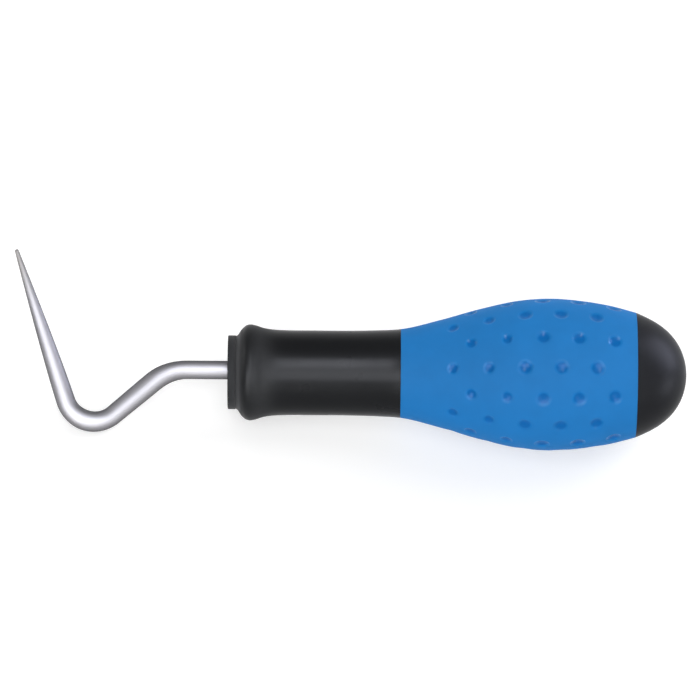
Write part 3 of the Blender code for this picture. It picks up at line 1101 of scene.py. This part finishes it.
@dataclass(frozen=True)
class SoftGrip:
    """The blue grip with its rows of dimples; every second row is half a pitch further on.

    The start and the pitch of a row are shares of the grip's length. In half widths, a bowl with
    its lip ends at reach, and its mark falls from 1 to 0 over the fade up to its edge.
    """

    form: HandleForm
    rows: int = 14
    row_step: float = math.radians(24)
    middle_row: float = math.radians(5.5)
    per_row: int = 5
    start_share: float = 0.2206
    pitch_share: float = 0.152
    small: float = 2.9 * MM
    large: float = 3.6 * MM
    small_per_row: int = 2
    depth: float = 0.57 * MM
    lip: float = 0.12
    reach: float = 1.6
    edge: float = 1.05
    fade: float = 0.45
    sides: int = 384
    rings: int = 210
    finish: SoftElastomer = field(default_factory=SoftElastomer)

    def dimples(self) -> tuple[np.ndarray, np.ndarray, np.ndarray]:
        """List the dimples.

        Returns:
            Place along the axis, angle from +Z towards +Y, and width of each dimple.
        """
        row = np.arange(-self.rows // 2, self.rows // 2)[:, None]
        number = np.arange(self.per_row)[None, :]
        start = self.form.neck_end + self.start_share * self.form.grip_length
        pitch = self.pitch_share * self.form.grip_length
        x = start + (number + row % 2 / 2) * pitch
        angle = self.middle_row + row * self.row_step + 0 * number
        width = np.where(number < self.small_per_row, self.small, self.large) + 0.0 * row
        return x.ravel(), angle.ravel(), width.ravel()

    def sink(self, x: np.ndarray, angle: np.ndarray) -> tuple[np.ndarray, np.ndarray]:
        """Work out how far the surface is sunk by its dimples.

        With s the distance to a dimple's middle as a share of its half width and b = 1 - s^2, the
        bowl's depth is a share (b + sqrt(b^2 + lip^2)) / 2 of the whole, which rounds its lip.

        Args:
            x: Place of each ring along the axis.
            angle: Angle of each side.

        Returns:
            Depth at each ring and side, and 1 on a dimple's floor falling to 0 just outside it.
        """
        radius = self.form.radius(x)
        slope = np.gradient(radius, x)
        along = np.sqrt(1 + slope**2)
        depth = np.zeros((len(x), len(angle)))
        inside = np.zeros_like(depth)
        for at, turn, width in zip(*self.dimples()):
            du = (x - at) * along
            dv = (angle - turn + math.pi) % math.tau - math.pi
            share = np.hypot(du[:, None], radius[:, None] * dv[None, :]) / (width / 2)
            bowl = 1 - share**2
            bowl = (bowl + np.sqrt(bowl**2 + self.lip**2)) / 2 * (share < self.reach)
            depth += self.depth * width / self.large * bowl
            inside = np.maximum(inside, np.clip((self.edge - share) / self.fade, 0, 1))
        return depth, inside

    def build(self, axes: ToolAxes) -> bpy.types.Object:
        """Work out the grip's surface and its inside.

        The outside at (x, angle) is the turned form moved in along its normal by the dimples'
        depth; the inside is the keyed core's shape with a clearance.

        Args:
            axes: The tool's axes in the model.

        Returns:
            The grip.
        """
        form = self.form
        x = np.linspace(form.neck_end, form.grip_end, self.rings)
        radius = form.radius(x)
        slope = np.gradient(radius, x)
        norm = np.sqrt(1 + slope**2)
        angle = np.linspace(0, math.tau, self.sides, endpoint=False)
        depth, inside = self.sink(x, angle)
        moved_x = x[:, None] + depth * (slope / norm)[:, None]
        moved_r = radius[:, None] - depth / norm[:, None]
        outer = np.stack([moved_x, moved_r * np.sin(angle), moved_r * np.cos(angle)], axis=-1)
        edge = form.seam_round
        outer[0] = turned_rings(np.array([(x[0] + edge, radius[0])]), self.sides)[0]
        outer[-1] = turned_rings(np.array([(x[-1] - edge, radius[-1])]), self.sides)[0]
        inner = form.core_outline(form.neck_end, form.grip_end, form.clearance)[::-1]
        back = np.array([(x[-1], radius[-1] - edge), (x[-1], radius[-1] - 3 * edge)])
        front = np.array([(x[0], radius[0] - 3 * edge), (x[0], radius[0] - edge)])
        rest = np.vstack([back, inner, front])
        points = np.concatenate([outer, turned_rings(rest, self.sides)])
        marks = np.concatenate([inside, np.zeros((len(rest), self.sides))])
        lengths = arc_lengths(np.vstack([np.stack([x, radius], axis=-1), rest]))
        girth = math.tau * form.grip_radius
        return make_piece("dimpled_grip", points, Ends.LOOP, axes, lengths, girth, marks)

    def dress(self, piece: bpy.types.Object) -> None:
        """Give the grip its blue elastomer."""
        settle(piece, "soft_grip", self.finish.material())


@dataclass(frozen=True)
class EndCap:
    """The domed black end, with the socket that takes the core's spigot."""

    form: HandleForm
    sides: int = 192
    steps: int = 60
    finish: MouldedPolymer = MouldedPolymer(
        "polypropylene_black_half_gloss",
        colour="#1C1D20",
        roughness=0.4,
        gloss=0.04,
        grain_size=0.25 * MM,
        grain_depth=0.002 * MM,
    )

    def build(self, axes: ToolAxes) -> bpy.types.Object:
        """Turn the cap's outline: the socket's floor and wall, the joint face and the dome.

        The dome's points lie at end - cap length t^2, with t from 1 to 0, which crowds them there.

        Args:
            axes: The tool's axes in the model.

        Returns:
            The cap.
        """
        form = self.form
        socket = form.spigot_radius + form.clearance
        floor = form.grip_end + form.spigot_length + form.clearance
        x = form.length - (form.length - form.grip_end) * np.linspace(1, 0, self.steps) ** 2
        dome = np.stack([x, form.dome(x)], axis=-1)
        inside = [(floor, 0), (floor, socket), (form.grip_end, socket)]
        outline = np.vstack([inside, dome])
        radii = np.zeros(len(outline))
        radii[len(inside)] = form.seam_round
        outline = rounded(outline, radii)
        points = turned_rings(outline, self.sides)
        lengths = arc_lengths(outline)
        girth = math.tau * form.grip_radius
        return make_piece("domed_end", points, Ends.POLES, axes, lengths, girth)

    def dress(self, piece: bpy.types.Object) -> None:
        """Give the cap its black polymer."""
        settle(piece, "end_cap", self.finish.material())


# ---------------------------------------------------------------- the studio


@dataclass(frozen=True)
class Softbox:
    """A rectangular soft light.

    Attributes:
        name: Name of the light.
        direction: Where it stands, in the camera's axes: right, up, towards the camera.
        distance: How far it is from what it lights.
        width: Its width.
        height: Its height.
        radiance: How bright its face is; white paper in full light is 1.
        role: Whether it lights the colours evenly or gives the gloss its highlights.
        colour: Colour of its cloth.
        at: Place along the handle that it faces.
    """

    name: str
    direction: tuple[float, float, float]
    distance: float
    width: float
    height: float
    radiance: float
    role: Role
    colour: str = "#FFFFFF"
    at: float = 30 * MM

    def build(self, view: np.ndarray, axes: ToolAxes) -> None:
        """Stand the light up, facing its place on the handle's axis.

        Args:
            view: Rows of the camera's right, up and back directions.
            axes: The tool's axes in the model.
        """
        lamp = bpy.data.lights.new(self.name, "AREA")
        lamp.shape = "RECTANGLE"
        lamp.size = self.width
        lamp.size_y = self.height
        lamp.energy = self.radiance * math.pi * self.width * self.height
        lamp.color = linear(self.colour)[:3]
        towards = np.array(self.direction, float) @ view
        towards /= np.linalg.norm(towards)
        upright = np.cross(towards, view[0])
        upright /= np.linalg.norm(upright)
        turn = np.stack([np.cross(upright, towards), upright, towards], axis=-1)
        stand = bpy.data.objects.new(self.name, lamp)
        target = axes.place(np.array([(self.at, 0.0, 0.0)]))[0]
        place = Matrix.Translation(target + self.distance * towards)
        stand.matrix_world = place @ Matrix(turn.tolist()).to_4x4()
        stand.visible_camera = False
        stand.visible_diffuse, stand.visible_glossy = self.role.value
        bpy.context.scene.collection.objects.link(stand)


@dataclass(frozen=True)
class Studio:
    """Camera, lights and the pale cove round the tool.

    The camera looks at aim, in the tool's axes, turned by slant about its own view.
    """

    camera_distance: float = 1.6
    lens: float = 358.5
    slant: float = math.radians(0.416)
    aim: tuple[float, float, float] = (27.98 * MM, 5.3 * MM, 0.0)
    floor_radius: float = 2.5
    cove_bend: float = 0.5
    cove_height: float = 0.55
    bend_steps: int = 16
    floor_steps: int = 12
    sides: int = 96
    world_level: float = 0.25
    lights: tuple[Softbox, ...] = (
        Softbox("front_fill", (-0.1, -0.1, 1.0), 1.2, 1.2, 1.2, 2.05, Role.FILL),
        Softbox("back_fill", (0.0, 1.0, 0.0), 1.2, 1.6, 0.7, 2.4, Role.FILL),
        Softbox("low_fill", (0.0, -0.86, 0.52), 1.2, 1.6, 0.5, 3.4, Role.FILL),
        Softbox("right_fill", (0.7, 0.55, 0.45), 1.2, 0.6, 0.6, 4.3, Role.FILL),
        Softbox("front_shine", (-0.05, -0.12, 0.98), 1.0, 1.55, 0.44, 13.6, Role.SHINE, "#F6F8FF"),
        Softbox("middle_shine", (0.02, 0.165, 0.985), 1.2, 0.5, 0.2, 9.5, Role.SHINE, "#F6F8FF"),
        Softbox("upper_shine", (0.02, 0.432, 0.89), 1.2, 0.28, 0.49, 31.0, Role.SHINE, "#F2F5FF"),
        Softbox("side_shine", (0.42, 0.4, 0.8), 1.2, 0.45, 0.4, 5.0, Role.SHINE, "#F2F5FF"),
        Softbox("wide_shine", (0.0, 0.06, 1.0), 1.2, 3.6, 3.4, 0.9, Role.SHINE),
        Softbox("low_left_shine", (-0.52, -0.34, 0.79), 1.2, 0.7, 0.6, 6.0, Role.SHINE),
        Softbox("low_right_shine", (0.5, -0.56, 0.66), 1.2, 0.6, 0.5, 6.0, Role.SHINE),
        Softbox("left_shine", (-0.94, 0.33, 0.05), 1.2, 1.0, 0.5, 6.0, Role.SHINE),
        Softbox("hook_shine", (-0.25, -0.6, 0.76), 0.15, 0.12, 0.07, 8.5, Role.SHINE, at=-15 * MM),
        Softbox(
            *("right_shine", (0.82, 0.455, 0.04), 0.15, 0.11, 0.09, 19.0),
            *(Role.SHINE, "#E6E9FF", 95 * MM),
        ),
        Softbox(
            *("end_shine", (0.89, -0.22, 0.1), 0.15, 0.06, 0.04, 18.0),
            *(Role.SHINE, "#F0F2FF", 95 * MM),
        ),
    )
    paper: StudioPaper = field(default_factory=StudioPaper)

    def view(self, axes: ToolAxes) -> np.ndarray:
        """Work out the camera's directions.

        Args:
            axes: The tool's axes in the model.

        Returns:
            Rows of its right, up and back directions in the model.
        """
        c, s = math.cos(self.slant), math.sin(self.slant)
        right = c * axes.along + s * axes.across
        up = c * axes.across - s * axes.along
        return np.stack([right, up, axes.facing])

    def build_camera(self, axes: ToolAxes) -> None:
        """Stand the camera square to the hook's plane.

        Args:
            axes: The tool's axes in the model.
        """
        lens = bpy.data.cameras.new("camera")
        lens.sensor_width = 36
        lens.lens = self.lens
        lens.clip_start, lens.clip_end = 0.01, 20
        camera = bpy.data.objects.new("camera", lens)
        view = self.view(axes)
        aim = axes.place(np.array([self.aim]))[0]
        place = Matrix.Translation(aim + self.camera_distance * view[2])
        camera.matrix_world = place @ Matrix(view.T.tolist()).to_4x4()
        bpy.context.scene.collection.objects.link(camera)
        bpy.context.scene.camera = camera

    def build_lights(self, axes: ToolAxes) -> None:
        """Stand up the lights and fill the room with a plain even light.

        Args:
            axes: The tool's axes in the model.
        """
        view = self.view(axes)
        for light in self.lights:
            light.build(view, axes)
        world = bpy.data.worlds.new("studio_room")
        world.use_nodes = True
        background = world.node_tree.nodes["Background"]
        background.inputs["Color"].default_value = linear("#FFFFFF")
        background.inputs["Strength"].default_value = self.world_level
        bpy.context.scene.world = world

    def build_cove(self) -> None:
        """Turn the cove's outline about Z: a flat floor, a quarter bend and an upright wall."""
        turn = np.linspace(0, math.pi / 2, self.bend_steps)
        bend_r = self.floor_radius + self.cove_bend * np.sin(turn)
        bend_z = self.cove_bend * (1 - np.cos(turn))
        flat = np.linspace(0, self.floor_radius, self.floor_steps)[:-1]
        radius = np.concatenate([flat, bend_r, [bend_r[-1]]])
        height = np.concatenate([0 * flat, bend_z, [self.cove_height]])
        angle = np.linspace(0, math.tau, self.sides, endpoint=False)
        r, z = radius[1:, None], height[1:, None]
        points = np.stack([r * np.cos(angle), r * np.sin(angle), z + 0 * angle], axis=-1)
        rings, sides = points.shape[:2]
        i, j = np.meshgrid(np.arange(rings - 1) * sides, np.arange(sides), indexing="ij")
        k = (j + 1) % sides
        quads = 1 + np.stack([i + j, i + sides + j, i + sides + k, i + k], axis=-1)
        side = np.arange(sides)
        middle = np.stack([0 * side, 1 + side, 1 + (side + 1) % sides], axis=-1)
        mesh = bpy.data.meshes.new("seamless_paper")
        vertices = np.vstack([[(0, 0, 0)], points.reshape(-1, 3)])
        mesh.from_pydata(vertices.tolist(), [], middle.tolist() + quads.reshape(-1, 4).tolist())
        mesh.shade_smooth()
        cove = bpy.data.objects.new("seamless_paper", mesh)
        cove.data.materials.append(self.paper.material())
        bpy.context.scene.collection.objects.link(cove)

    def build(self, axes: ToolAxes) -> None:
        """Set up everything that isn't the tool, and show colours as they are.

        Args:
            axes: The tool's axes in the model.
        """
        self.build_camera(axes)
        self.build_lights(axes)
        self.build_cove()
        bpy.context.scene.view_settings.view_transform = "Standard"


def main() -> None:
    """Build and dress the pieces in order, then the studio round them."""
    logging.basicConfig(level=logging.INFO, format="%(message)s")
    axes = ToolAxes.from_record(FRAME["record"], ROLL, MOUNT_OFFSET)
    form = HandleForm()
    rod = PickRod()
    for part in (rod, HandleCore(form, rod), NeckSleeve(form), SoftGrip(form), EndCap(form)):
        part.dress(part.build(axes))
    Studio().build(axes)


if __name__ == "__main__":
    main()
